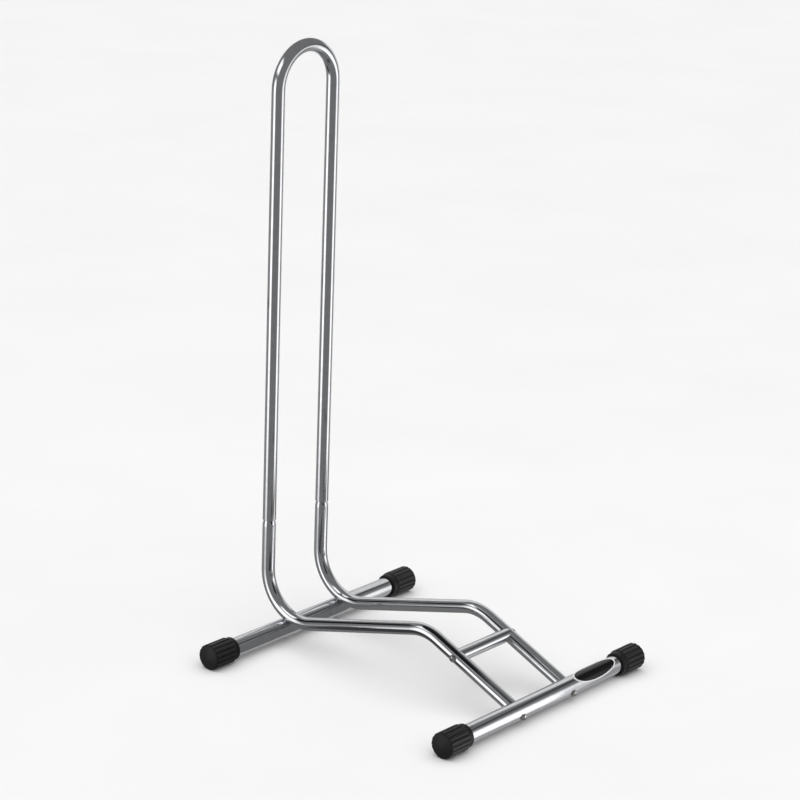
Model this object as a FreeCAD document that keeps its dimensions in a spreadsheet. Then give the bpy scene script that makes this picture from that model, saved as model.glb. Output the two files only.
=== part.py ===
import FreeCAD, Part
import math
import os
import re

import Sketcher
from FreeCAD import Vector

# Floor bike rack: a tall hoop stands on two bent side tubes, which are bolted to a front and a rear
# crossbar and held apart by a short spacer bar. The crossbars rest on fluted rubber caps. X runs along
# the crossbars, -Y is the front, where the wheel rolls in, and Z is up from the floor. The origin is on
# the floor under the middle of the rack.

# Driving dimensions in millimetres and degrees.
DIMENSIONS = [
    ("tube_dia", 16.0, "outside diameter of the hoop, the side tubes and the spacer bar"),
    ("tube_wall", 1.2, "wall of the 16 mm tubes"),
    ("bar_dia", 22.0, "outside diameter of the two crossbars"),
    ("bar_wall", 1.5, "wall of the crossbars"),
    ("leg_spacing", 94.0, "between the axes of the two side tubes"),
    ("bar_spacing", 352.0, "between the axes of the two crossbars"),
    ("upright_setback", 29.0, "from the rear crossbar's axis back to the uprights"),
    ("bar_height", 15.4, "from the floor to the crossbars' axes"),
    ("rack_width", 362.0, "over the closed ends of the caps"),
    ("hoop_top", 719.0, "from the floor to the top of the hoop"),
    ("bend_radius", 55.0, "centre-line radius of the side tubes' bends"),
    ("slope_angle", 24.3, "rise of the front stretch towards the rear"),
    ("run_angle", 14.6, "fall of the long middle stretch towards the rear"),
    ("saddle_depth", 1.1, "how far a side tube sinks into the rear crossbar"),
    ("saddle_gap", 0.05, "between a tube and the saddle or cope that it sits in"),
    ("joint_height", 145.0, "from the floor to the lower ends of the hoop"),
    ("shoulder_length", 7.0, "height of the swaged shoulder under the hoop"),
    ("shoulder_round", 19.5, "radius of the shoulder's outline"),
    ("spigot_length", 40.0, "of the spigot inside the hoop"),
    ("slip_gap", 0.1, "radial clearance of the spigot in the hoop"),
    ("lead_in", 1.2, "chamfer at the top of the spigot"),
    ("end_break", 0.4, "broken edges of cut tube ends"),
    ("spacer_reach", 97.0, "from the front crossbar's axis up the slope to the spacer bar"),
    ("cap_dia", 31.0, "over the ribs of the rubber caps"),
    ("cap_length", 41.0, "of the rubber caps"),
    ("cap_floor", 4.0, "thickness of a cap's closed end"),
    ("cap_crown", 0.8, "rise of the domed closed end"),
    ("cap_round", 2.5, "round at the rim of the closed end"),
    ("cap_fit", 0.02, "between a cap and its crossbar"),
    ("collar_dia", 28.0, "of the smooth collar at a cap's mouth and of the flutes' floor"),
    ("collar_length", 6.0, "of the smooth collar"),
    ("mouth_break", 0.6, "chamfers inside and outside a cap's mouth"),
    ("rib_ramp", 2.0, "length over which the ribs rise from the collar"),
    ("flute_count", 16, "flutes round a cap"),
    ("flute_floor", 1.2, "width of a flute at its floor"),
    ("flute_mouth", 4.2, "width of a flute at the cap's outside"),
    ("rib_round", 2.0, "radius of the ribs' rounded flanks"),
    ("bolt_dia", 5.0, "of the bolts"),
    ("bolt_hole", 5.5, "clearance holes"),
    ("head_dia", 8.8, "of the bolts' dome heads"),
    ("head_height", 3.4, "of the dome heads"),
    ("head_edge", 0.9, "straight edge under the dome"),
    ("key_flats", 3.0, "across the flats of the hexagon socket"),
    ("key_depth", 1.9, "of the hexagon socket"),
    ("tip_break", 0.5, "chamfer at a bolt's tip"),
    ("front_bolt_length", 35.0, "under the head"),
    ("spacer_bolt_length", 32.0, "under the head"),
    ("rear_bolt_length", 30.0, "under the head"),
    ("thread_gap", 0.02, "between a bolt and its thread, modelled plain"),
    ("plug_length", 17.0, "of the threaded plugs in the tube ends"),
    ("plug_gap", 0.02, "between a plug and the tube it is crimped in"),
    ("plug_depth", 1.0, "from a coped end's throat to its plug"),
    ("rivet_dia", 7.0, "barrel of the blind rivet nuts"),
    ("rivet_flange", 8.6, "diameter of their flanges"),
    ("rivet_bulge", 9.4, "diameter of the collar that sets inside the tube"),
    ("flange_thick", 0.8, "thickness of the flange"),
    ("rivet_length", 10.8, "of a rivet nut"),
    ("bulge_seat", 3.9, "from the flange's face to the set collar"),
    ("bulge_thick", 1.5, "of the set collar"),
    ("rivet_hole", 7.1, "hole in a side tube for a rivet nut"),
    ("flange_hole", 9.0, "hole in the rear crossbar that clears a rivet nut's flange"),
    ("overcut", 1.0, "how far a cutter runs past what it cuts"),
]

# Places that several pieces share, worked out from the driving dimensions. Dividing an angle by 1 deg
# leaves it as a plain number of degrees.
FRONT_Y = "(-(bar_spacing + upright_setback + tube_dia / 2 - cap_dia / 2) / 2)"
REAR_Y = f"({FRONT_Y} + bar_spacing)"
UPRIGHT_Y = f"({REAR_Y} + upright_setback)"
BEND_TO_BAR = "(bend_radius + tube_dia / 2 + bar_dia / 2 - saddle_depth)"
SADDLE_ANGLE = f"(asin((bend_radius - upright_setback) / {BEND_TO_BAR}) / 1 deg)"
SADDLE_AXIS = f"({BEND_TO_BAR} - bend_radius)"
SPIGOT_RADIUS = "(tube_dia / 2 - tube_wall - slip_gap)"
HOOP_BORE = "(tube_dia - 2 * tube_wall)"
BAR_LENGTH = "(rack_width - 2 * (cap_floor + saddle_gap))"
COPE_DEPTH = "(bar_dia / 2 + saddle_gap)"

SIDES = {"left": -1, "right": 1}

doc = FreeCAD.newDocument("BikeRack")
pieces = {}


# ---- the sheet and the small helpers -----------------------------------------------------------

def make_sheet():
    """The driving dimensions, one row each: value with its alias, then what it is."""
    sheet = doc.addObject("Spreadsheet::Sheet", "Dimensions")
    for row, (alias, size, meaning) in enumerate(DIMENSIONS, start=1):
        sheet.set(f"A{row}", str(size))
        sheet.setAlias(f"A{row}", alias)
        sheet.set(f"B{row}", meaning)
    doc.recompute()
    return sheet


dimensions = make_sheet()
ALIASES = re.compile(r"\b(" + "|".join(alias for alias, _, _ in DIMENSIONS) + r")\b")


def expand(formula):
    """A formula in plain aliases, with each alias pointed at the sheet."""
    return ALIASES.sub(r"Dimensions.\1", formula)


def value(formula):
    """The number a formula gives now, in millimetres or degrees."""
    return float(dimensions.evalExpression(expand(formula)))


def bind(target, prop, formula):
    target.setExpression(prop, expand(formula))


def new_body(name, x="0", y="0", z="0", axis=Vector(1, 0, 0), turn=None):
    """A sub-part's body, placed in the rack by formulas and turned about one axis."""
    body = doc.addObject("PartDesign::Body", name)
    body.Label = name
    if turn is not None:
        body.Placement = FreeCAD.Placement(Vector(), FreeCAD.Rotation(axis, value(turn)))
        bind(body, "Placement.Rotation.Angle", turn)
    for letter, formula in zip("xyz", (x, y, z)):
        bind(body, f"Placement.Base.{letter}", formula)
    pieces[name] = body
    return body


def origin_feature(body, role):
    return next(feature for feature in body.Origin.OriginFeatures if feature.Role == role)


def new_sketch(body, role, name, shift=("0", "0", "0"), axis=Vector(1, 0, 0), turn=None):
    """A sketch on one of the body's own origin planes, shifted and turned within it."""
    sketch = body.newObject("Sketcher::SketchObject", name)
    sketch.AttachmentSupport = [(origin_feature(body, role), "")]
    sketch.MapMode = "FlatFace"
    if turn is not None:
        sketch.AttachmentOffset = FreeCAD.Placement(Vector(), FreeCAD.Rotation(axis, value(turn)))
        bind(sketch, "AttachmentOffset.Rotation.Angle", turn)
    for letter, formula in zip("xyz", shift):
        if formula != "0":
            bind(sketch, f"AttachmentOffset.Base.{letter}", formula)
    return sketch


def dimension(sketch, kind, name, formula, *where):
    """One named constraint, bound to the sheet. A new constraint takes its angle in radians."""
    size = math.radians(value(formula)) if kind == "Angle" else value(formula)
    index = sketch.addConstraint(Sketcher.Constraint(kind, *where, size))
    sketch.renameConstraint(index, name)
    bind(sketch, f"Constraints.{name}", formula)


def pin_point(sketch, name, geometry, point, across, up):
    """Hold one point at (across, up) from the sketch's origin."""
    for kind, letter, formula in (("DistanceX", "across", across), ("DistanceY", "up", up)):
        ends = [(-1, 1), (geometry, point)]
        if value(formula) < 0:
            ends.reverse()
            formula = f"-({formula})"
        dimension(sketch, kind, f"{name}_{letter}", formula, *ends[0], *ends[1])


def draw_circle(sketch, name, diameter, across="0", up="0"):
    centre = Vector(value(across), value(up), 0)
    circle = Part.Circle(centre, Vector(0, 0, 1), value(diameter) / 2)
    index = sketch.addGeometry(circle, False)
    dimension(sketch, "Diameter", f"{name}_dia", diameter, index)
    if value(across) == 0 and value(up) == 0:
        sketch.addConstraint(Sketcher.Constraint("Coincident", index, 3, -1, 1))
    else:
        pin_point(sketch, name, index, 3, across, up)


def arc_between(start, end, radius):
    """The short arc from start to end, turning left for a positive radius and right for a negative one."""
    chord = end - start
    middle = (start + end) / 2
    height = math.sqrt(radius * radius - chord.Length * chord.Length / 4)
    left = Vector(-chord.y, chord.x, 0).normalize()
    centre = middle + left * math.copysign(height, radius)
    first, last = (start, end) if radius > 0 else (end, start)
    angles = [math.atan2(spot.y - centre.y, spot.x - centre.x) for spot in (first, last)]
    return Part.ArcOfCircle(Part.Circle(centre, Vector(0, 0, 1), abs(radius)), *angles)


def draw_outline(sketch, corners):
    """A closed outline through corners given as (across, up) formulas. A third formula on a corner is
    the radius of the arc that leads on from it, negative where the outline turns right."""
    spots = [Vector(value(corner[0]), value(corner[1]), 0) for corner in corners]
    ends = []
    for number, corner in enumerate(corners):
        start, end = spots[number], spots[(number + 1) % len(corners)]
        if len(corner) == 2:
            index = sketch.addGeometry(Part.LineSegment(start, end), False)
            ends.append((index, 1, 2))
            continue
        radius = value(corner[2])
        index = sketch.addGeometry(arc_between(start, end, radius), False)
        ends.append((index, 1, 2) if radius > 0 else (index, 2, 1))
        formula = corner[2] if radius > 0 else f"-({corner[2]})"
        dimension(sketch, "Radius", f"round_{number}", formula, index)
    for number, corner in enumerate(corners):
        index, first, _ = ends[number]
        before, _, last = ends[number - 1]
        sketch.addConstraint(Sketcher.Constraint("Coincident", before, last, index, first))
        pin_point(sketch, f"corner_{number}", index, first, corner[0], corner[1])


def pad(body, name, sketch, length):
    """Material on both sides of a sketch."""
    feature = body.newObject("PartDesign::Pad", name)
    feature.Profile = sketch
    feature.SideType = "Symmetric"
    bind(feature, "Length", length)
    return feature


def revolve(body, name, kind, sketch, axis):
    feature = body.newObject(f"PartDesign::{kind}", name)
    feature.Profile = sketch
    feature.ReferenceAxis = (sketch, [axis])
    feature.Angle = 360
    return feature


def cut_through(body, name, sketch):
    """Cut a sketch's outline right through, both ways."""
    feature = body.newObject("PartDesign::Pocket", name)
    feature.Profile = sketch
    feature.SideType = "Symmetric"
    feature.Type = "ThroughAll"
    return feature


def cut_along(body, name, sketch, length):
    """Cut a sketch's outline along its normal, by a length."""
    feature = body.newObject("PartDesign::Pocket", name)
    feature.Profile = sketch
    feature.Reversed = True
    feature.Type = "Length"
    bind(feature, "Length", length)
    return feature


def ring_edges(feature, diameter, tolerance=0.01):
    """Names of a feature's full round edges of one diameter, by their geometry."""
    names = []
    for number, edge in enumerate(feature.Shape.Edges, start=1):
        curve = edge.Curve
        if isinstance(curve, Part.Circle) and abs(2 * curve.Radius - value(diameter)) < tolerance:
            if abs(edge.Length - math.pi * 2 * curve.Radius) < tolerance:
                names.append(f"Edge{number}")
    return names


def break_edges(body, name, feature, diameter, size):
    """Chamfer a tube's cut ends, found by their diameter."""
    doc.recompute()
    chamfer = body.newObject("PartDesign::Chamfer", name)
    chamfer.Base = (feature, ring_edges(feature, diameter))
    bind(chamfer, "Size", size)
    return chamfer


def sweep_tube(body, path, profile):
    tube = body.newObject("PartDesign::AdditivePipe", "Tube")
    tube.Profile = profile
    tube.Spine = path
    return tube


# ---- bent tubes ----------------------------------------------------------------------------------

def draw_side_path(sketch):
    """Centre-line of a side tube, from the front crossbar's axis: up the slope, over the peak, down the
    long run, round the bottom bend that sits on the rear crossbar, and up to the shoulder."""
    radius = value("bend_radius")
    slope = math.radians(value("slope_angle"))
    run = math.radians(value("run_angle"))
    upright = value("bar_spacing + upright_setback")
    saddle = math.radians(value(SADDLE_ANGLE))
    bottom = Vector(upright - radius, value(BEND_TO_BAR) * math.cos(saddle), 0)
    low_end = bottom + Vector(-math.sin(run), -math.cos(run), 0) * radius
    # The slope and the run meet at the peak's corner, which the peak's bend rounds off.
    height_at_front = low_end.y + low_end.x * math.tan(run)
    corner_across = height_at_front / (math.tan(slope) + math.tan(run))
    corner = Vector(corner_across, corner_across * math.tan(slope), 0)
    tangent = radius * math.tan((slope + run) / 2)
    slope_end = corner - Vector(math.cos(slope), math.sin(slope), 0) * tangent
    run_start = corner + Vector(math.cos(run), -math.sin(run), 0) * tangent
    bend_end = bottom + Vector(radius, 0, 0)
    top = Vector(upright, value("joint_height - shoulder_length - bar_height"), 0)

    slope_line = sketch.addGeometry(Part.LineSegment(Vector(), slope_end), False)
    peak = sketch.addGeometry(arc_between(slope_end, run_start, -radius), False)
    run_line = sketch.addGeometry(Part.LineSegment(run_start, low_end), False)
    bend = sketch.addGeometry(arc_between(low_end, bend_end, radius), False)
    upright_line = sketch.addGeometry(Part.LineSegment(bend_end, top), False)

    sketch.addConstraint(Sketcher.Constraint("Coincident", slope_line, 1, -1, 1))
    sketch.addConstraint(Sketcher.Constraint("Tangent", slope_line, 2, peak, 2))
    sketch.addConstraint(Sketcher.Constraint("Tangent", peak, 1, run_line, 1))
    sketch.addConstraint(Sketcher.Constraint("Tangent", run_line, 2, bend, 1))
    sketch.addConstraint(Sketcher.Constraint("Tangent", bend, 2, upright_line, 1))
    sketch.addConstraint(Sketcher.Constraint("Vertical", upright_line))
    dimension(sketch, "Angle", "slope", "slope_angle", slope_line)
    dimension(sketch, "Angle", "run", "-run_angle", run_line)
    dimension(sketch, "Radius", "peak_radius", "bend_radius", peak)
    dimension(sketch, "Radius", "bottom_radius", "bend_radius", bend)
    dimension(sketch, "DistanceY", "bottom_centre", f"{BEND_TO_BAR} * cos({SADDLE_ANGLE})", -1, 1, bend, 3)
    pin_point(sketch, "top", upright_line, 2, "bar_spacing + upright_setback",
              "joint_height - shoulder_length - bar_height")


def build_side_tube(side, sign):
    """A side tube with its coped front end, its bolt holes and the swaged spigot that the hoop slips on."""
    body = new_body(f"side_tube_{side}", f"{sign} * leg_spacing / 2", FRONT_Y, "bar_height")
    upright = "bar_spacing + upright_setback"
    shoulder = "joint_height - shoulder_length - bar_height"

    path = new_sketch(body, "YZ_Plane", "Path")
    draw_side_path(path)
    profile = new_sketch(body, "XY_Plane", "Profile", ("0", upright, shoulder))
    draw_circle(profile, "outside", "tube_dia")
    draw_circle(profile, "bore", "tube_dia - 2 * tube_wall")
    sweep_tube(body, path, profile)

    # The shoulder curves in to the spigot, and the wall keeps its thickness.
    section = new_sketch(body, "YZ_Plane", "SpigotSection", (upright, shoulder, "0"))
    spigot_top = "shoulder_length + spigot_length"
    draw_outline(section, [
        ("tube_dia / 2", "0", "shoulder_round"),
        (SPIGOT_RADIUS, "shoulder_length"),
        (SPIGOT_RADIUS, f"{spigot_top} - lead_in"),
        (f"{SPIGOT_RADIUS} - lead_in / 2", spigot_top),
        (f"{SPIGOT_RADIUS} - tube_wall", spigot_top),
        (f"{SPIGOT_RADIUS} - tube_wall", "shoulder_length", "-shoulder_round"),
        ("tube_dia / 2 - tube_wall", "0"),
    ])
    revolve(body, "Spigot", "Revolution", section, "V_Axis")

    cope = new_sketch(body, "YZ_Plane", "CopeCircle")
    draw_circle(cope, "cope", f"2 * {COPE_DEPTH}")
    cut_through(body, "Cope", cope)

    cross_hole = new_sketch(body, "YZ_Plane", "SpacerHoleCircle")
    draw_circle(cross_hole, "hole", "bolt_hole", "spacer_reach * cos(slope_angle)",
                "spacer_reach * sin(slope_angle)")
    cut_through(body, "SpacerHole", cross_hole)

    rivet_hole = new_sketch(body, "XY_Plane", "RivetHoleCircle", ("0", "bar_spacing", "0"),
                            turn=SADDLE_ANGLE)
    draw_circle(rivet_hole, "hole", "rivet_hole")
    cut_along(body, "RivetHole", rivet_hole, SADDLE_AXIS)


def build_hoop():
    """The upper hoop: two straight legs and a half-circle bend, open at its lower ends."""
    body = new_body("hoop", y=UPRIGHT_Y)
    half = "leg_spacing / 2"
    crown = "hoop_top - tube_dia / 2 - leg_spacing / 2"
    path = new_sketch(body, "XZ_Plane", "Path")
    left_foot = Vector(-value(half), value("joint_height"), 0)
    right_foot = Vector(value(half), value("joint_height"), 0)
    left_top = Vector(-value(half), value(crown), 0)
    right_top = Vector(value(half), value(crown), 0)
    left_leg = path.addGeometry(Part.LineSegment(left_foot, left_top), False)
    crown_circle = Part.Circle(Vector(0, value(crown), 0), Vector(0, 0, 1), value(half))
    bend = path.addGeometry(Part.ArcOfCircle(crown_circle, 0, math.pi), False)
    right_leg = path.addGeometry(Part.LineSegment(right_top, right_foot), False)
    path.addConstraint(Sketcher.Constraint("Tangent", left_leg, 2, bend, 2))
    path.addConstraint(Sketcher.Constraint("Tangent", bend, 1, right_leg, 1))
    path.addConstraint(Sketcher.Constraint("Vertical", left_leg))
    path.addConstraint(Sketcher.Constraint("Vertical", right_leg))
    pin_point(path, "left_foot", left_leg, 1, f"-({half})", "joint_height")
    pin_point(path, "right_foot", right_leg, 2, half, "joint_height")
    dimension(path, "DistanceY", "crown", crown, -1, 1, bend, 3)

    profile = new_sketch(body, "XY_Plane", "Profile", (f"-({half})", "0", "joint_height"))
    draw_circle(profile, "outside", "tube_dia")
    draw_circle(profile, "bore", HOOP_BORE)
    tube = sweep_tube(body, path, profile)
    outer = break_edges(body, "FootEdges", tube, "tube_dia", "end_break")
    break_edges(body, "BoreEdges", outer, HOOP_BORE, "end_break")


# ---- straight tubes ------------------------------------------------------------------------------

def build_front_crossbar():
    """The front crossbar, drilled through along the slope for the two front bolts. Its own Y axis lies
    along the slope."""
    body = new_body("front_crossbar", y=FRONT_Y, z="bar_height", turn="slope_angle")
    section = new_sketch(body, "YZ_Plane", "Section")
    draw_circle(section, "outside", "bar_dia")
    draw_circle(section, "bore", "bar_dia - 2 * bar_wall")
    tube = pad(body, "Tube", section, BAR_LENGTH)
    break_edges(body, "EndEdges", tube, "bar_dia", "end_break")
    holes = new_sketch(body, "XZ_Plane", "BoltHoles")
    for side, sign in SIDES.items():
        draw_circle(holes, side, "bolt_hole", f"{sign} * leg_spacing / 2")
    cut_through(body, "Holes", holes)


def build_spacer_bar():
    """The spacer bar, with its ends coped to the side tubes. Its own Y axis lies along the slope."""
    body = new_body("spacer_bar", y=f"{FRONT_Y} + spacer_reach * cos(slope_angle)",
                    z="bar_height + spacer_reach * sin(slope_angle)", turn="slope_angle")
    section = new_sketch(body, "YZ_Plane", "Section")
    draw_circle(section, "outside", "tube_dia")
    draw_circle(section, "bore", "tube_dia - 2 * tube_wall")
    pad(body, "Tube", section, "leg_spacing")
    copes = new_sketch(body, "XZ_Plane", "CopeCircles")
    for side, sign in SIDES.items():
        draw_circle(copes, side, "tube_dia + 2 * saddle_gap", f"{sign} * leg_spacing / 2")
    cut_through(body, "Copes", copes)


def part_object(kind, name, x="0", y="0", z="0", axis=Vector(0, 0, 1), turn="0", **sizes):
    """A Part primitive with its sizes and place bound to the sheet."""
    solid = doc.addObject(f"Part::{kind}", name)
    solid.Placement = FreeCAD.Placement(Vector(), FreeCAD.Rotation(axis, value(turn)))
    bind(solid, "Placement.Rotation.Angle", turn)
    for letter, formula in zip("xyz", (x, y, z)):
        bind(solid, f"Placement.Base.{letter}", formula)
    for prop, formula in sizes.items():
        bind(solid, prop, formula)
    return solid


def combine(kind, name, base, tools):
    """base less its tools, as one Part object."""
    group = doc.addObject("Part::MultiFuse", f"{name}_tools")
    group.Shapes = tools
    result = doc.addObject(f"Part::{kind}", name)
    result.Base = base
    result.Tool = group
    return result


def bar_rod(name, diameter, length):
    """A rod along the rear crossbar's axis."""
    return part_object("Cylinder", name, f"-{length} / 2", REAR_Y, "bar_height", Vector(0, 1, 0), "90",
                       Radius=f"({diameter}) / 2", Height=length)


def bend_ring(side, sign, name, radius):
    """The whole ring that a side tube's bottom bend is part of, grown to a pressing tool."""
    return part_object("Torus", f"{name}_{side}", f"{sign} * leg_spacing / 2",
                       f"{UPRIGHT_Y} - bend_radius",
                       f"bar_height + {BEND_TO_BAR} * cos({SADDLE_ANGLE})", Vector(0, 1, 0), "90",
                       Radius1="bend_radius", Radius2=radius)


def drill(side, sign, name, diameter, turn, length):
    """A drill from the rear crossbar's axis outwards, turned about X from straight up."""
    return part_object("Cylinder", f"{name}_{side}", f"{sign} * leg_spacing / 2", REAR_Y, "bar_height",
                       Vector(1, 0, 0), turn, Radius=f"({diameter}) / 2", Height=length)


def build_rear_crossbar():
    """The rear crossbar. The bottom bends of the side tubes sit in saddles pressed into it: the wall is
    pushed in there and keeps its thickness, so the bore has the same two dents, a wall further in."""
    outside = bar_rod("rear_bar_rod", "bar_dia", BAR_LENGTH)
    bore = bar_rod("rear_bar_bore", "bar_dia - 2 * bar_wall", f"({BAR_LENGTH} + 2 * overcut)")
    presses, dents, drills = [], [], []
    for side, sign in SIDES.items():
        presses.append(bend_ring(side, sign, "saddle_press", "tube_dia / 2 + saddle_gap"))
        dents.append(bend_ring(side, sign, "saddle_dent", "tube_dia / 2 + saddle_gap + bar_wall"))
        drills.append(drill(side, sign, "flange_drill", "flange_hole", SADDLE_ANGLE, "bar_dia"))
        drills.append(drill(side, sign, "bolt_drill", "bolt_hole", f"180 + {SADDLE_ANGLE}", "bar_dia"))
    pressed = combine("Cut", "rear_bar_pressed", outside, presses)
    dented_bore = combine("Cut", "rear_bar_dented_bore", bore, dents)
    rear_bar = combine("Cut", "rear_crossbar", pressed, [dented_bore, *drills])
    rear_bar.Label = "rear_crossbar"
    pieces["rear_crossbar"] = rear_bar


# ---- rubber caps ---------------------------------------------------------------------------------

def build_foot_cap(row, y, side, sign):
    """A rubber cap: smooth collar at the mouth, fluted grip and domed closed end. Its own X axis runs
    from the mouth to the closed end, and its lowest rib is flat where it stands on the floor."""
    body = new_body(f"foot_cap_{row}_{side}", f"{sign} * (rack_width / 2 - cap_length)", y, "bar_height",
                    axis=Vector(0, 0, 1), turn="0" if sign > 0 else "180")
    bore = "bar_dia / 2 + cap_fit"
    rim = "cap_length - cap_crown"
    section = new_sketch(body, "XZ_Plane", "Section")
    draw_outline(section, [
        ("0", f"{bore} + mouth_break"),
        ("mouth_break", bore),
        ("cap_length - cap_floor", bore),
        ("cap_length - cap_floor", "0"),
        ("cap_length", "0", "((cap_dia / 2 - cap_round) ^ 2 + cap_crown ^ 2) / (2 * cap_crown)"),
        (rim, "cap_dia / 2 - cap_round", "cap_round"),
        (f"{rim} - cap_round", "cap_dia / 2"),
        ("collar_length + rib_ramp", "cap_dia / 2"),
        ("collar_length", "collar_dia / 2"),
        ("mouth_break", "collar_dia / 2"),
        ("0", "collar_dia / 2 - mouth_break"),
    ])
    revolve(body, "Shell", "Revolution", section, "H_Axis")

    # One flute, cut from the collar out through the closed end, then the whole ring of them. Its flanks
    # leave the ribs rounded.
    half_pitch = "180 / flute_count"
    flute = new_sketch(body, "YZ_Plane", "FluteSection", ("0", "0", "collar_length"),
                       Vector(0, 0, 1), half_pitch)
    floor = "collar_dia / 2"
    mouth = "sqrt((cap_dia / 2) ^ 2 - (flute_mouth / 2) ^ 2)"
    outside = "cap_dia / 2 + overcut"
    draw_outline(flute, [
        ("-flute_floor / 2", floor),
        ("flute_floor / 2", floor, "-rib_round"),
        ("flute_mouth / 2", mouth),
        ("flute_mouth / 2", outside),
        ("-flute_mouth / 2", outside),
        ("-flute_mouth / 2", mouth, "-rib_round"),
    ])
    cut = cut_along(body, "Flute", flute, "cap_length")
    ring = body.newObject("PartDesign::PolarPattern", "Flutes")
    ring.Originals = [cut]
    ring.Axis = (origin_feature(body, "X_Axis"), [""])
    ring.Angle = 360
    bind(ring, "Occurrences", "flute_count")
    body.Tip = ring

    land = new_sketch(body, "YZ_Plane", "FloorLand")
    draw_outline(land, [
        ("-cap_dia / 2", "-cap_dia"),
        ("cap_dia / 2", "-cap_dia"),
        ("cap_dia / 2", "-bar_height"),
        ("-cap_dia / 2", "-bar_height"),
    ])
    cut_along(body, "Land", land, "cap_length + overcut")


# ---- fasteners -----------------------------------------------------------------------------------

def build_bolt(name, length, **place):
    """A dome-headed bolt with a hexagon socket. Its own Z axis points out of the head, from the face
    under the head."""
    body = new_body(name, **place)
    section = new_sketch(body, "YZ_Plane", "Section")
    dome = "head_height - head_edge"
    draw_outline(section, [
        ("0", f"-{length}"),
        ("bolt_dia / 2 - tip_break", f"-{length}"),
        ("bolt_dia / 2", f"tip_break - {length}"),
        ("bolt_dia / 2", "0"),
        ("head_dia / 2", "0"),
        ("head_dia / 2", "head_edge", f"((head_dia / 2) ^ 2 + ({dome}) ^ 2) / (2 * ({dome}))"),
        ("0", "head_height"),
    ])
    revolve(body, "Bolt", "Revolution", section, "V_Axis")

    socket = new_sketch(body, "XY_Plane", "Socket", ("0", "0", "head_height - key_depth"))
    corner = "(key_flats / sqrt(3))"
    draw_outline(socket, [
        (f"{corner} * cos({60 * number})", f"{corner} * sin({60 * number})") for number in range(6)
    ])
    cut_along(body, "Key", socket, "head_height")


def build_plug(name, **place):
    """A threaded plug crimped in a tube's end. Its own Z axis points out of the tube."""
    body = new_body(name, **place)
    section = new_sketch(body, "YZ_Plane", "Section")
    radius = f"{HOOP_BORE} / 2 - plug_gap"
    thread = "bolt_dia / 2 + thread_gap"
    draw_outline(section, [
        (thread, "-plug_length"),
        (f"{radius} - end_break", "-plug_length"),
        (radius, "end_break - plug_length"),
        (radius, "-end_break"),
        (f"{radius} - end_break", "0"),
        (f"{thread} + end_break", "0"),
        (thread, "-end_break"),
    ])
    revolve(body, "Plug", "Revolution", section, "V_Axis")


def build_rivet_nut(name, **place):
    """A blind rivet nut, set in a side tube's bottom wall: flange outside, collar upset inside. Its own
    Z axis points out through the flange, from the flange's outer face."""
    body = new_body(name, **place)
    section = new_sketch(body, "YZ_Plane", "Section")
    thread = "bolt_dia / 2 + thread_gap"
    draw_outline(section, [
        (thread, "-rivet_length"),
        ("rivet_dia / 2", "-rivet_length"),
        ("rivet_dia / 2", "-(bulge_seat + bulge_thick)"),
        ("rivet_bulge / 2", "-(bulge_seat + bulge_thick / 2)"),
        ("rivet_dia / 2", "-bulge_seat"),
        ("rivet_dia / 2", "-flange_thick"),
        ("rivet_flange / 2", "-flange_thick"),
        ("rivet_flange / 2", "0"),
        (thread, "0"),
    ])
    revolve(body, "Nut", "Revolution", section, "V_Axis")


def build_fasteners(side, sign):
    """The three joints of one side tube: front crossbar, spacer bar and rear crossbar."""
    across = f"{sign} * leg_spacing / 2"
    slope_turn = "90 + slope_angle"
    bar_face = "(bar_dia / 2 + saddle_gap)"
    plug_start = f"({COPE_DEPTH} + plug_depth)"
    build_bolt(f"front_bolt_{side}", "front_bolt_length", x=across,
               y=f"{FRONT_Y} - {bar_face} * cos(slope_angle)",
               z=f"bar_height - {bar_face} * sin(slope_angle)", turn=slope_turn)
    build_plug(f"front_insert_{side}", x=across, y=f"{FRONT_Y} + {plug_start} * cos(slope_angle)",
               z=f"bar_height + {plug_start} * sin(slope_angle)", turn=slope_turn)

    spacer_y = f"{FRONT_Y} + spacer_reach * cos(slope_angle)"
    spacer_z = "bar_height + spacer_reach * sin(slope_angle)"
    tube_face = "(tube_dia / 2 + saddle_gap)"
    sideways = Vector(0, 1, 0)
    outward = f"{90 * sign}"
    build_bolt(f"spacer_bolt_{side}", "spacer_bolt_length", x=f"{sign} * (leg_spacing / 2 + {tube_face})",
               y=spacer_y, z=spacer_z, axis=sideways, turn=outward)
    build_plug(f"spacer_insert_{side}",
               x=f"{sign} * (leg_spacing / 2 - {tube_face} - plug_depth)",
               y=spacer_y, z=spacer_z, axis=sideways, turn=outward)

    saddle_turn = f"180 + {SADDLE_ANGLE}"
    flange_face = f"({SADDLE_AXIS} - tube_dia / 2 - flange_thick)"
    build_bolt(f"rear_bolt_{side}", "rear_bolt_length", x=across,
               y=f"{REAR_Y} + {bar_face} * sin({SADDLE_ANGLE})",
               z=f"bar_height - {bar_face} * cos({SADDLE_ANGLE})", turn=saddle_turn)
    build_rivet_nut(f"rear_insert_{side}", x=across,
                    y=f"{REAR_Y} - {flange_face} * sin({SADDLE_ANGLE})",
                    z=f"bar_height + {flange_face} * cos({SADDLE_ANGLE})", turn=saddle_turn)


# ---- build, check and write ----------------------------------------------------------------------

def check_document():
    """Stop if any object failed, or any sub-part isn't one valid solid."""
    for item in doc.Objects:
        if "Invalid" in item.State or "Error" in item.State:
            raise RuntimeError(f"{item.Name} failed: {item.State}")
    for name, piece in pieces.items():
        shape = piece.Shape
        if shape.isNull() or not shape.isValid() or len(shape.Solids) != 1:
            raise RuntimeError(f"{name} isn't one valid solid")


def write_parts():
    os.makedirs("parts", exist_ok=True)
    for name, piece in pieces.items():
        piece.Shape.exportStep(f"parts/{name}.step")
        print(f"{name}: {piece.Shape.Volume:.0f} mm3")


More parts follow.
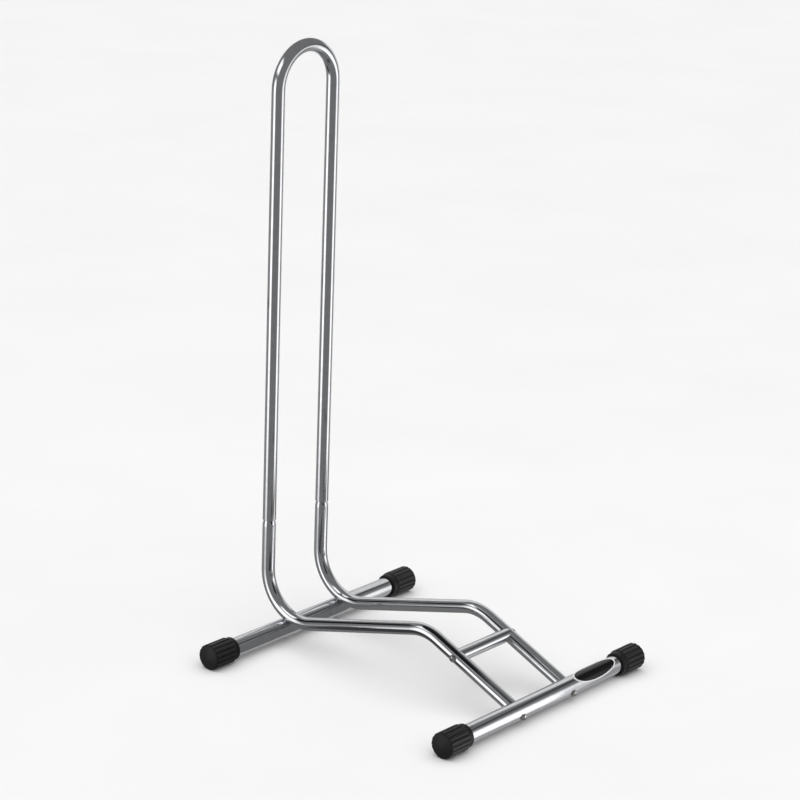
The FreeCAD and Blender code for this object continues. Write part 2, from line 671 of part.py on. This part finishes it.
build_hoop()
for side, sign in SIDES.items():
    build_side_tube(side, sign)
    build_fasteners(side, sign)
    for row, y in (("front", FRONT_Y), ("rear", REAR_Y)):
        build_foot_cap(row, y, side, sign)
build_front_crossbar()
build_rear_crossbar()
build_spacer_bar()
doc.recompute()
check_document()
write_parts()
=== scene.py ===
"""Floor bike rack: chrome tubes on two crossbars with ribbed rubber caps, and a hoop that lifts off."""
import math

import bpy
from bpy.props import FloatProperty, FloatVectorProperty, PointerProperty
from mathutils import Matrix, Vector


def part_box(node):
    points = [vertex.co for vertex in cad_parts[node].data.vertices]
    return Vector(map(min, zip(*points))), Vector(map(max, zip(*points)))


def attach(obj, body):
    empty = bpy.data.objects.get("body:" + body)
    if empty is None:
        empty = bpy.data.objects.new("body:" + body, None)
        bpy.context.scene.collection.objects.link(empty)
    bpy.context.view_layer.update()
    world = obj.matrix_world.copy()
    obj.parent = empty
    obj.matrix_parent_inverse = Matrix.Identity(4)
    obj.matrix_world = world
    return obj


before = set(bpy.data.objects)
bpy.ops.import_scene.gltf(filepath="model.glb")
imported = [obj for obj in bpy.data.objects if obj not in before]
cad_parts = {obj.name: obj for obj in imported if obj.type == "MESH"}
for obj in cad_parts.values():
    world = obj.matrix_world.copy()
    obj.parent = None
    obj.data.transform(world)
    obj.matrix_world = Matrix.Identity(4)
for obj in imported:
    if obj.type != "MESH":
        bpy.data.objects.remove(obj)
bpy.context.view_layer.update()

bl_info = {
    "name": "Floor Bike Rack",
    "version": (1, 0, 0),
    "blender": (4, 5, 0),
    "location": "View3D > Sidebar > Bike Rack",
    "description": "Dresses the frame of a chrome floor bike rack and sets up its studio",
    "category": "Object",
}

MM = 0.001

FRONT_BAR_LOW, FRONT_BAR_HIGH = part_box("front_crossbar")
BAR_RADIUS = (FRONT_BAR_HIGH[2] - FRONT_BAR_LOW[2]) / 2
FRONT_BAR_AXIS = (Vector(FRONT_BAR_LOW) + Vector(FRONT_BAR_HIGH)) / 2
REAR_BAR_LOW, REAR_BAR_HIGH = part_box("rear_crossbar")
REAR_BAR_AXIS = (Vector(REAR_BAR_LOW) + Vector(REAR_BAR_HIGH)) / 2
CAP_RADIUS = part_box("foot_cap_front_left")[1][2] - FRONT_BAR_AXIS.z
GROOVE_DEPTH = 1.5 * MM
CAP_SWELL = 9.0     # fall of a cap's end face, per square of the distance from its middle, in 1/m

TUBES = ("hoop", "side_tube_left", "side_tube_right", "front_crossbar", "rear_crossbar", "spacer_bar")
CAPS = tuple(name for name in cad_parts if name.startswith("foot_cap"))
BOLTS = tuple(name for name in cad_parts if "_bolt_" in name)
INSERTS = tuple(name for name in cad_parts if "_insert_" in name)

# The oval plate. Its outline has 96 corners, and its field is a grid of 32 by 16 cells. Distances across
# it count 0 in the middle and 0.5 at the field's edge.
PLATE_CORNERS = 96
PLATE_SPAN = 32
PLATE_GAP = 0.05 * MM   # between the bar and the plate
FIELD_EDGE = 0.5
RIM_START = 0.497       # a little inside the field's edge, so that the rim's inner wall has its finish
RIM_SLOT = 1            # material slot of the rim's finish
RIM_BREAK = 0.45        # width of the rim's broken edges, as a part of its rise

FLOOR_SIZE = 60.0
WORLD_LEVEL = 0.21

# The studio that the chrome mirrors, in metres. Each card stands off a spot in or near the rack, at a
# bearing (0 is the camera's side, positive to its right) and an elevation in degrees.
FLOOR_SPOT = (0.0, 0.0, 0.0)
FRONT_BAR_SPOT = (0.0, -0.18, 0.02)
LEG_SPOT = (0.0, 0.19, 0.2)
NECK_SPOT = (0.0, 0.19, 0.4)
CROWN_SPOT = (0.0, 0.19, 0.7)
# name, spot, bearing, elevation, distance, width, height, level, soft edge
CARDS = (
    ("softbox_left", LEG_SPOT, -60, 0, 2.6, 2.4, 2.9, 1.7, 0.8),
    ("softbox_right", (0.0, 0.0, -0.3), 88, 0, 1.9, 2.1, 2.4, 1.8, 0.9),
    ("softbox_high", CROWN_SPOT, -62, 40, 2.4, 2.8, 1.8, 1.5, 0.5),
    ("backdrop", (0.0, 0.0, 0.42), 180, 0, 0.8, 1.6, 1.25, 0.62, 0.2),
    ("backdrop_top", (0.0, 0.0, 0.62), 180, 0, 0.78, 1.5, 0.75, 0.85, 0.2),
    ("dark_gap", FRONT_BAR_SPOT, 119, 39, 1.2, 0.9, 0.28, 0.07, 0.1),
    ("floor_behind", FLOOR_SPOT, 180, -18, 2.5, 3.4, 1.4, 0.45, 0.4),
    ("wall_left", NECK_SPOT, -118, -16, 3.0, 4.4, 2.2, 0.30, 0.6),
    ("floor_right", NECK_SPOT, 130, -45, 3.0, 3.6, 2.2, 0.45, 0.6),
)

# Small flags close to the rack, dark sheets seen only in reflections, which paint dark reflections: they
# give the low tubes their dark streaks and dim the front crossbar towards its right cap, and the low ones
# stand in for shade on the floor under the rack. The first four lie edge-on to what the uprights mirror.
# name, centre, turn about X and about Y in degrees, width, height, level, soft edge
FLAGS = (
    ("flag_over_bend", (-0.068, -0.062, 0.160), 18, 0, 0.136, 0.20, 0.012, 0.03),
    ("flag_over_slope", (-0.08, -0.10, 0.15), 18, 0, 0.11, 0.24, 0.08, 0.02),
    ("flag_beside_slope", (-0.29, -0.10, 0.15), 18, 0, 0.38, 0.26, 0.22, 0.06),
    ("flag_beside_run", (-0.24, 0.50, 0.31), -16, -8, 0.30, 0.34, 0.01, 0.06),
    ("flag_under_run", (-0.13, 0.04, 0.004), 0, 0, 0.15, 0.24, 0.05, 0.03),
    ("flag_before_rear_bar", (-0.07, 0.150, 0.003), 90, 0, 0.28, 0.046, 0.18, 0.006),
    ("flag_bar_end", (0.21, -0.227, -0.01), 90, 0, 0.36, 0.12, 0.75, 0.05),
    ("flag_by_cap", (0.24, -0.225, -0.01), 90, 0, 0.28, 0.12, 0.38, 0.05),
)

SENSOR_WIDTH = 36.0     # in millimetres
OVERHEAD_PLACE = (-0.5, -0.5, 3.0)
OVERHEAD_ANGLE = 110.0  # in degrees
OVERHEAD_POWER = 2.7


# ---- colours, nodes and the selection ---------------------------------------------------------

def linear(hex_colour):
    """An sRGB hex value as linear red, green, blue and alpha."""
    channels = [int(hex_colour[i:i + 2], 16) / 255 for i in (1, 3, 5)]
    return [c / 12.92 if c <= 0.04045 else ((c + 0.055) / 1.055) ** 2.4 for c in channels] + [1.0]


def add_node(tree, kind, settings=None, inputs=None):
    """Adds a node, sets its properties and fills its sockets, from a value or another node's socket."""
    node = tree.nodes.new(kind)
    for name, value in (settings or {}).items():
        setattr(node, name, value)
    for name, value in (inputs or {}).items():
        if isinstance(value, bpy.types.NodeSocket):
            tree.links.new(value, node.inputs[name])
        else:
            node.inputs[name].default_value = value
    return node


def new_material(name):
    """An empty material with its Principled shader and output."""
    material = bpy.data.materials.new(name)
    material.use_nodes = True
    tree = material.node_tree
    tree.nodes.clear()
    shader = add_node(tree, "ShaderNodeBsdfPrincipled")
    add_node(tree, "ShaderNodeOutputMaterial", inputs={"Surface": shader.outputs["BSDF"]})
    return material, tree, shader


def dress(names, material):
    """Gives CAD nodes one material all over."""
    for name in names:
        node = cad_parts[name]
        for slot in node.material_slots:
            slot.material = material


def start_piece(name, add):
    """Adds a primitive with nothing else selected and names it."""
    bpy.ops.object.select_all(action="DESELECT")
    add()
    piece = bpy.context.active_object
    piece.name = name
    return piece


def select_faces(piece, wanted):
    """Selects the faces that the test picks, and nothing else, with the piece in object mode."""
    bpy.ops.object.mode_set(mode="EDIT")
    bpy.ops.mesh.select_mode(type="FACE")
    bpy.ops.mesh.select_all(action="DESELECT")
    bpy.ops.object.mode_set(mode="OBJECT")
    for face in piece.data.polygons:
        face.select = wanted(face)


# ---- finishes ---------------------------------------------------------------------------------

class RackFinishes(bpy.types.PropertyGroup):
    """Colours of the rack's finishes."""

    chrome: FloatVectorProperty(
        name="Chrome", description="Colour of the chrome plate",
        default=linear("#D4D5D8")[:3], subtype="COLOR", min=0, max=1)
    polish: FloatProperty(
        name="Polish Haze", description="Roughness of the chrome plate",
        default=0.09, min=0.02, max=0.4)
    nickel: FloatVectorProperty(
        name="Nickel", description="Colour of the bolts' nickel plate",
        default=linear("#D2D1CE")[:3], subtype="COLOR", min=0, max=1)
    zinc: FloatVectorProperty(
        name="Zinc", description="Colour of the inserts' zinc plate",
        default=linear("#A9ABAC")[:3], subtype="COLOR", min=0, max=1)
    rubber: FloatVectorProperty(
        name="Rubber", description="Colour of the caps on top of their ribs",
        default=linear("#1D1D1E")[:3], subtype="COLOR", min=0, max=1)
    enamel: FloatVectorProperty(
        name="Enamel", description="Colour of the plate's field",
        default=linear("#0C0C0D")[:3], subtype="COLOR", min=0, max=1)
    rim: FloatVectorProperty(
        name="Plate Rim", description="Colour of the plate's bright rim",
        default=linear("#F4F4F5")[:3], subtype="COLOR", min=0, max=1)


def noise(tree, size, detail=2.0, roughness=0.5, stretch=(1, 1, 1)):
    """Noise of a real size in metres on object coordinates, finer or coarser along each axis."""
    place = add_node(tree, "ShaderNodeMapping", inputs={
        "Vector": add_node(tree, "ShaderNodeTexCoord").outputs["Object"], "Scale": stretch,
    })
    return add_node(tree, "ShaderNodeTexNoise", inputs={
        "Vector": place.outputs[0], "Scale": 1 / size, "Detail": detail, "Roughness": roughness,
    }).outputs["Fac"]


def spread(tree, fac, low, high, start=0.35, end=0.65):
    """A pattern whose values from start to end are brought to the range from low to high."""
    return add_node(tree, "ShaderNodeMapRange", inputs={
        "Value": fac, "From Min": start, "From Max": end, "To Min": low, "To Max": high,
    }).outputs["Result"]


def blend(tree, fac, first, second):
    """The two colours mixed by fac."""
    mix = add_node(tree, "ShaderNodeMix", {"data_type": "RGBA"})
    tree.links.new(fac, mix.inputs["Factor"])
    for name, colour in (("A", first), ("B", second)):
        socket = next(item for item in mix.inputs if item.name == name and item.type == "RGBA")
        socket.default_value = colour
    return next(item for item in mix.outputs if item.type == "RGBA")


def raise_surface(tree, shader, height, depth, strength, base=None):
    """Bumps the shader's normal by a height pattern, depth in metres, on top of a base bump if given."""
    bump = add_node(tree, "ShaderNodeBump", inputs={
        "Strength": strength, "Distance": depth, "Height": height,
    })
    if base:
        tree.links.new(base, bump.inputs["Normal"])
    tree.links.new(bump.outputs["Normal"], shader.inputs["Normal"])


def shade(colour, by):
    """A finish's colour, darkened or lightened, with alpha."""
    return [min(channel * by, 1.0) for channel in colour] + [1.0]


def mottle(tree, shader, pattern, first, second):
    """Base colour that goes from the first to the second colour with a noise pattern."""
    colour = blend(tree, spread(tree, pattern, low=0.0, high=1.0), first, second)
    tree.links.new(colour, shader.inputs["Base Color"])


def bright_chrome_plate(finishes):
    """Bright chrome plate over drawn and polished steel tube. The eye sees a hard mirror with a cold
    grey body, whose long highlights waver a little where the tube was polished by hand, and a thin
    patchy haze that dulls them here and there."""
    material, tree, shader = new_material("bright_chrome_plate")
    haze = noise(tree, size=9 * MM, detail=4.0, roughness=0.6)
    shader.inputs["Metallic"].default_value = 1.0
    mottle(tree, shader, haze, shade(finishes.chrome, by=1.04), shade(finishes.chrome, by=0.96))
    dulled = spread(tree, haze, low=finishes.polish * 0.8, high=finishes.polish * 1.5)
    tree.links.new(dulled, shader.inputs["Roughness"])
    waves = noise(tree, size=14 * MM, roughness=0.4)
    raise_surface(tree, shader, waves, depth=0.06 * MM, strength=0.12)
    return material


def nickel_plate(finishes):
    """Nickel plate on turned steel bolts. The eye sees a warmer, softer mirror than the chrome's, with
    faint dull specks from handling."""
    material, tree, shader = new_material("nickel_plated_steel")
    specks = noise(tree, size=1.2 * MM, detail=3.0)
    shader.inputs["Metallic"].default_value = 1.0
    mottle(tree, shader, specks, shade(finishes.nickel, by=1.0), shade(finishes.nickel, by=0.85))
    tree.links.new(spread(tree, specks, low=0.07, high=0.15), shader.inputs["Roughness"])
    return material


def zinc_plate(finishes):
    """Zinc plate on the plugs and rivet nuts inside the tubes. The eye sees dull grey metal with a
    cloudy bloom."""
    material, tree, shader = new_material("zinc_plated_steel")
    clouds = noise(tree, size=3 * MM, detail=4.0, roughness=0.65)
    shader.inputs["Metallic"].default_value = 1.0
    mottle(tree, shader, clouds, shade(finishes.zinc, by=1.1), shade(finishes.zinc, by=0.75))
    tree.links.new(spread(tree, clouds, low=0.3, high=0.5), shader.inputs["Roughness"])
    return material


def from_bar_axis(tree):
    """Distance of a point on a cap from its bar's axis."""
    place = add_node(tree, "ShaderNodeSeparateXYZ", inputs={
        "Vector": add_node(tree, "ShaderNodeTexCoord").outputs["Object"],
    })
    middle = (FRONT_BAR_AXIS.y + REAR_BAR_AXIS.y) / 2
    from_middle = add_node(tree, "ShaderNodeMath", {"operation": "SUBTRACT"}, {
        0: place.outputs["Y"], 1: middle,
    })
    either_side = add_node(tree, "ShaderNodeMath", {"operation": "ABSOLUTE"}, {0: from_middle.outputs[0]})
    radial = add_node(tree, "ShaderNodeCombineXYZ", inputs={
        "Y": either_side.outputs[0], "Z": place.outputs["Z"],
    })
    return add_node(tree, "ShaderNodeVectorMath", {"operation": "DISTANCE"}, {
        0: radial.outputs[0], 1: (0, REAR_BAR_AXIS.y - middle, REAR_BAR_AXIS.z),
    }).outputs["Value"]


def moulded_black_rubber(finishes):
    """Black rubber from a spark-eroded mould. The eye sees near-black with painted shade that darkens it
    in the grooves, so that the ribs stand out lighter under a grey bloom that varies at random, end faces
    that swell a little and so shade from side to side, and a fine matt grain."""
    material, tree, shader = new_material("moulded_black_rubber")
    distance = from_bar_axis(tree)
    height = add_node(tree, "ShaderNodeMapRange", {"interpolation_type": "SMOOTHSTEP"}, {
        "Value": distance, "From Min": CAP_RADIUS - GROOVE_DEPTH, "From Max": CAP_RADIUS,
    }).outputs["Result"]
    bloom = spread(tree, noise(tree, size=6 * MM, detail=3.0), low=0.7, high=1.0)
    # Painted shade: the rubber's colour falls to about a third of itself in the grooves and keeps it on
    # the ribs, where a random bloom varies it.
    groove_shade_and_bloom = add_node(tree, "ShaderNodeMath", {"operation": "MULTIPLY"}, {0: height, 1: bloom}).outputs[0]
    colour = blend(tree, groove_shade_and_bloom, shade(finishes.rubber, by=0.35), shade(finishes.rubber, by=1.0))
    tree.links.new(colour, shader.inputs["Base Color"])
    rubbed = spread(tree, groove_shade_and_bloom, low=0.55, high=0.42, start=0.0, end=1.0)
    tree.links.new(rubbed, shader.inputs["Roughness"])
    squared = add_node(tree, "ShaderNodeMath", {"operation": "MULTIPLY"}, {0: distance, 1: distance})
    dome = add_node(tree, "ShaderNodeBump", {"invert": True}, {
        "Distance": CAP_SWELL, "Height": squared.outputs[0],
    })
    grain = noise(tree, size=0.5 * MM, detail=3.0, roughness=0.6)
    raise_surface(tree, shader, grain, depth=0.04 * MM, strength=0.35, base=dome.outputs["Normal"])
    return material


def black_enamel(finishes):
    """Black enamel baked on the plate's field. The eye sees a deep black with a wet gloss, slightly
    rippled like orange peel."""
    material, tree, shader = new_material("baked_black_enamel")
    peel = noise(tree, size=2.5 * MM, detail=1.0)
    mottle(tree, shader, peel, shade(finishes.enamel, by=0.8), shade(finishes.enamel, by=1.4))
    shader.inputs["Roughness"].default_value = 0.2
    shader.inputs["Specular IOR Level"].default_value = 0.3
    raise_surface(tree, shader, peel, depth=0.02 * MM, strength=0.3)
    return material


def silver_lacquer(finishes):
    """Silver lacquer rolled on the plate's raised rim. The eye sees a pale bright line, a little cloudy
    where the roller left it thin."""
    material, tree, shader = new_material("rolled_silver_lacquer")
    clouds = noise(tree, size=4 * MM, detail=3.0, stretch=(0.3, 1, 1))
    shader.inputs["Metallic"].default_value = 0.2
    mottle(tree, shader, clouds, shade(finishes.rim, by=1.0), shade(finishes.rim, by=0.9))
    tree.links.new(spread(tree, clouds, low=0.25, high=0.38), shader.inputs["Roughness"])
    return material


# ---- pieces -----------------------------------------------------------------------------------

class RACK_OT_tubes(bpy.types.Operator):
    """Finish the hoop, the side tubes and the three bars"""

    bl_idname = "bike_rack.tubes"
    bl_label = "Tubes and Bars"

    def execute(self, context):
        dress(TUBES, bright_chrome_plate(context.scene.bike_rack_finishes))
        return {"FINISHED"}


class RACK_OT_fasteners(bpy.types.Operator):
    """Finish the bolts and the inserts that they screw into"""

    bl_idname = "bike_rack.fasteners"
    bl_label = "Bolts and Inserts"

    def execute(self, context):
        finishes = context.scene.bike_rack_finishes
        dress(BOLTS, nickel_plate(finishes))
        dress(INSERTS, zinc_plate(finishes))
        return {"FINISHED"}


class RACK_OT_caps(bpy.types.Operator):
    """Finish the four ribbed caps"""

    bl_idname = "bike_rack.caps"
    bl_label = "Rubber Caps"

    def execute(self, context):
        dress(CAPS, moulded_black_rubber(context.scene.bike_rack_finishes))
        return {"FINISHED"}


class RackPlate(bpy.types.PropertyGroup):
    """The bare oval plate on the front crossbar."""

    length: FloatProperty(
        name="Length", description="Of the dark field, along the bar",
        default=73 * MM, unit="LENGTH")
    width: FloatProperty(
        name="Width", description="Of the dark field, measured round the bar",
        default=21 * MM, unit="LENGTH")
    rim: FloatProperty(
        name="Rim", description="Width of the bright rim",
        default=1.8 * MM, unit="LENGTH")
    thickness: FloatProperty(
        name="Thickness", description="Of the field",
        default=0.4 * MM, unit="LENGTH")
    rim_rise: FloatProperty(
        name="Rim Rise", description="How far the rim stands above the field",
        default=0.35 * MM, unit="LENGTH")
    middle: FloatProperty(
        name="Middle", description="Of the plate, along the bar from the rack's middle",
        default=92 * MM, unit="LENGTH")
    tilt: FloatProperty(
        name="Tilt", description="Of the plate's middle, up from the front of the bar",
        default=math.radians(63), unit="ROTATION")


def across(face, sizes):
    """How far out on the flat plate a face lies."""
    return math.hypot(face.center.x / sizes.length, face.center.y / sizes.width)


def flat_plate(sizes):
    """The plate lying face up and flat: the oval field and a flat rim round it, both thick."""
    plate = start_piece("oval_plate", lambda: bpy.ops.mesh.primitive_circle_add(
        vertices=PLATE_CORNERS, radius=FIELD_EDGE, fill_type="NOTHING"))
    bpy.ops.object.mode_set(mode="EDIT")
    bpy.ops.transform.resize(value=(sizes.length, sizes.width, 1))
    bpy.ops.mesh.fill_grid(span=PLATE_SPAN)
    bpy.ops.mesh.select_all(action="DESELECT")
    bpy.ops.mesh.select_non_manifold()
    bpy.ops.mesh.extrude_edges_move()
    both_rims = 2 * sizes.rim
    bpy.ops.transform.resize(value=(1 + both_rims / sizes.length, 1 + both_rims / sizes.width, 1))
    bpy.ops.mesh.select_all(action="SELECT")
    bpy.ops.mesh.extrude_region_move(TRANSFORM_OT_translate={"value": (0, 0, sizes.thickness)})
    bpy.ops.object.mode_set(mode="OBJECT")
    return plate


def raise_rim(plate, sizes):
    """Lifts the rim above the field, breaks its edges and gives it its own finish."""
    def on_rim(face):
        face_up = face.normal.z > 0.5 and face.center.z > sizes.thickness / 2
        return face_up and across(face, sizes) > FIELD_EDGE

    select_faces(plate, on_rim)
    bpy.ops.object.mode_set(mode="EDIT")
    bpy.ops.mesh.extrude_region_move(TRANSFORM_OT_translate={"value": (0, 0, sizes.rim_rise)})
    bpy.ops.mesh.bevel(offset=sizes.rim_rise * RIM_BREAK, segments=2, profile=0.6)
    bpy.ops.mesh.select_all(action="SELECT")
    bpy.ops.mesh.normals_make_consistent(inside=False)
    bpy.ops.object.mode_set(mode="OBJECT")
    for face in plate.data.polygons:
        if across(face, sizes) > RIM_START:
            face.material_index = RIM_SLOT


def wrap_round_bar(plate, sizes):
    """Stands the plate on edge, bends it round the bar's axis, and turns and moves it to its place."""
    plate.rotation_euler = (math.radians(90), 0, 0)
    bpy.ops.object.transform_apply(rotation=True)
    seat = BAR_RADIUS + PLATE_GAP
    bend = plate.modifiers.new("Wrap", "SIMPLE_DEFORM")
    bend.deform_method = "BEND"
    bend.deform_axis = "X"
    bend.angle = (sizes.width + 2 * sizes.rim) / seat
    bpy.ops.object.modifier_apply(modifier=bend.name)
    plate.location = (0, -seat, 0)
    bpy.ops.object.transform_apply(location=True)
    plate.rotation_euler = (-sizes.tilt, 0, 0)
    plate.location = FRONT_BAR_AXIS + Vector((sizes.middle, 0, 0))
    bpy.ops.object.transform_apply(location=True, rotation=True)
    bpy.ops.object.shade_smooth_by_angle(angle=math.radians(40))


class RACK_OT_plate(bpy.types.Operator):
    """Model the bare oval plate that is wrapped round the front crossbar"""

    bl_idname = "bike_rack.plate"
    bl_label = "Oval Plate"

    def execute(self, context):
        sizes = context.scene.bike_rack_plate
        finishes = context.scene.bike_rack_finishes
        plate = flat_plate(sizes)
        plate.data.materials.append(black_enamel(finishes))
        plate.data.materials.append(silver_lacquer(finishes))
        raise_rim(plate, sizes)
        wrap_round_bar(plate, sizes)
        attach(plate, "base_frame")
        return {"FINISHED"}


class RackStudio(bpy.types.PropertyGroup):
    """Where the camera stands and how the studio is lit."""

    azimuth: FloatProperty(
        name="Azimuth", description="Camera's bearing, 0 looking along +Y",
        default=math.radians(-50.473), unit="ROTATION")
    elevation: FloatProperty(
        name="Elevation", description="Camera's height above the horizon",
        default=math.radians(18.067), unit="ROTATION")
    roll: FloatProperty(
        name="Roll", description="Turn of the camera about its own axis",
        default=math.radians(2.001), unit="ROTATION")
    distance: FloatProperty(
        name="Distance", description="From the camera to the point that it looks at",
        default=3.392611, unit="LENGTH")
    target: FloatVectorProperty(
        name="Target", description="The point that the camera looks at",
        default=(-0.090651, -0.03675, 0.35882), subtype="TRANSLATION")
    lens: FloatProperty(
        name="Lens", description="Focal length in millimetres on a 36 mm sensor",
        default=137.353, unit="CAMERA")


class RACK_OT_studio(bpy.types.Operator):
    """Set up the floor, the lights and the camera"""

    bl_idname = "bike_rack.studio"
    bl_label = "Studio"

    def execute(self, context):
        studio = context.scene.bike_rack_studio
        add_floor()
        light_world(context)
        add_overhead_light(context)
        add_cards()
        add_camera(context, studio)
        return {"FINISHED"}


def add_floor():
    """A wide pale floor, which the chrome doesn't mirror: the cards stand in for the studio there."""
    floor = start_piece("studio_floor", lambda: bpy.ops.mesh.primitive_plane_add(size=FLOOR_SIZE))
    material, tree, shader = new_material("pale_studio_floor")
    mottle(tree, shader, noise(tree, size=250 * MM, detail=3.0), linear("#F3F3F3"), linear("#F5F5F5"))
    shader.inputs["Roughness"].default_value = 0.9
    floor.data.materials.append(material)
    floor.visible_glossy = False


def light_world(context):
    """An even grey surround."""
    world = bpy.data.worlds.new("studio")
    world.use_nodes = True
    world.node_tree.nodes["Background"].inputs["Color"].default_value = (WORLD_LEVEL,) * 3 + (1,)
    context.scene.world = world


def direction(bearing, elevation):
    """Unit vector at a bearing from the camera's side, to its right positive, both in degrees."""
    turn, rise = math.radians(bearing), math.radians(elevation)
    azimuth = bpy.context.scene.bike_rack_studio.azimuth
    towards = Vector((math.sin(azimuth), -math.cos(azimuth), 0))
    right = Vector((math.cos(azimuth), math.sin(azimuth), 0))
    flat = towards * math.cos(turn) + right * math.sin(turn)
    return flat * math.cos(rise) + Vector((0, 0, math.sin(rise)))


def card_material(name, level, width, height, edge):
    """A sheet that glows evenly and fades out over its edge."""
    material = bpy.data.materials.new(name)
    material.use_nodes = True
    tree = material.node_tree
    tree.nodes.clear()
    place = add_node(tree, "ShaderNodeSeparateXYZ", inputs={
        "Vector": add_node(tree, "ShaderNodeTexCoord").outputs["Object"],
    })
    masks = []
    for axis, size in (("X", width), ("Y", height)):
        side = add_node(tree, "ShaderNodeMath", {"operation": "ABSOLUTE"}, {0: place.outputs[axis]})
        masks.append(add_node(tree, "ShaderNodeMapRange", {"interpolation_type": "SMOOTHSTEP"}, {
            "Value": side.outputs[0], "From Min": size / 2, "From Max": size / 2 - edge,
        }))
    both = add_node(tree, "ShaderNodeMath", {"operation": "MULTIPLY"}, {
        0: masks[0].outputs["Result"], 1: masks[1].outputs["Result"],
    })
    glow = add_node(tree, "ShaderNodeEmission", inputs={"Strength": level})
    clear = add_node(tree, "ShaderNodeBsdfTransparent")
    mix = add_node(tree, "ShaderNodeMixShader", inputs={
        0: both.outputs[0], 1: clear.outputs[0], 2: glow.outputs[0],
    })
    add_node(tree, "ShaderNodeOutputMaterial", inputs={"Surface": mix.outputs[0]})
    return material


def add_card(name, centre, turn, width, height, level, edge):
    """A card that only mirror-like surfaces see."""
    card = start_piece(name, lambda: bpy.ops.mesh.primitive_plane_add(size=1.0))
    card.data.transform(Matrix.Diagonal((width, height, 1, 1)))
    card.location = centre
    card.rotation_euler = turn
    card.data.materials.append(card_material(name, level, width, height, edge))
    card.visible_camera = False
    card.visible_diffuse = False
    card.visible_shadow = False
    card.visible_transmission = False
    card.visible_volume_scatter = False


def add_cards():
    """The softboxes and cards round the rack and the flags close to it."""
    for name, spot, bearing, elevation, distance, *sheet in CARDS:
        way = direction(bearing, elevation)
        add_card(name, Vector(spot) + way * distance, (-way).to_track_quat("Z", "Y").to_euler(), *sheet)
    for name, centre, lean, roll, *sheet in FLAGS:
        add_card(name, centre, (math.radians(lean), math.radians(roll), 0), *sheet)


def add_overhead_light(context):
    """Soft overhead light for the floor and the rubber, which the chrome doesn't mirror."""
    data = bpy.data.lights.new("overhead", "SUN")
    data.angle = math.radians(OVERHEAD_ANGLE)
    data.energy = OVERHEAD_POWER
    lamp = bpy.data.objects.new("overhead", data)
    lamp.location = OVERHEAD_PLACE
    lamp.rotation_euler = (-Vector(OVERHEAD_PLACE)).to_track_quat("-Z", "Y").to_euler()
    lamp.visible_glossy = False
    context.scene.collection.objects.link(lamp)


def add_camera(context, studio):
    """The camera at the photograph's angle."""
    azimuth, elevation = studio.azimuth, studio.elevation
    back = Vector((
        math.sin(azimuth) * math.cos(elevation),
        -math.cos(azimuth) * math.cos(elevation),
        math.sin(elevation),
    ))
    data = bpy.data.cameras.new("photo_camera")
    data.sensor_width = SENSOR_WIDTH
    data.lens = studio.lens
    camera = bpy.data.objects.new("photo_camera", data)
    camera.location = Vector(studio.target) + back * studio.distance
    turn = (-back).to_track_quat("-Z", "Y").to_matrix() @ Matrix.Rotation(studio.roll, 3, "Z")
    camera.rotation_euler = turn.to_euler()
    context.scene.collection.objects.link(camera)
    context.scene.camera = camera
    context.scene.view_settings.view_transform = "Standard"


class RACK_PT_build(bpy.types.Panel):
    """The steps that dress the rack, in order, with the sizes and colours that they use"""

    bl_idname = "RACK_PT_build"
    bl_label = "Bike Rack"
    bl_space_type = "VIEW_3D"
    bl_region_type = "UI"
    bl_category = "Bike Rack"

    def draw(self, context):
        steps = self.layout.column(align=True)
        for operator in OPERATORS:
            steps.operator(operator.bl_idname)
        for group, path in GROUPS.items():
            box = self.layout.box()
            box.label(text=group.__doc__)
            for name in group.__annotations__:
                box.prop(getattr(context.scene, path), name)


OPERATORS = (RACK_OT_tubes, RACK_OT_fasteners, RACK_OT_caps, RACK_OT_plate, RACK_OT_studio)
GROUPS = {
    RackFinishes: "bike_rack_finishes",
    RackPlate: "bike_rack_plate",
    RackStudio: "bike_rack_studio",
}


def register():
    for cls in (*GROUPS, *OPERATORS, RACK_PT_build):
        bpy.utils.register_class(cls)
    for group, path in GROUPS.items():
        setattr(bpy.types.Scene, path, PointerProperty(type=group))


def unregister():
    for path in GROUPS.values():
        delattr(bpy.types.Scene, path)
    for cls in (RACK_PT_build, *reversed(OPERATORS), *reversed(GROUPS)):
        bpy.utils.unregister_class(cls)


def main():
    register()
    bpy.ops.bike_rack.tubes()
    bpy.ops.bike_rack.fasteners()
    bpy.ops.bike_rack.caps()
    bpy.ops.bike_rack.plate()
    bpy.ops.bike_rack.studio()


if __name__ == "__main__":
    main()
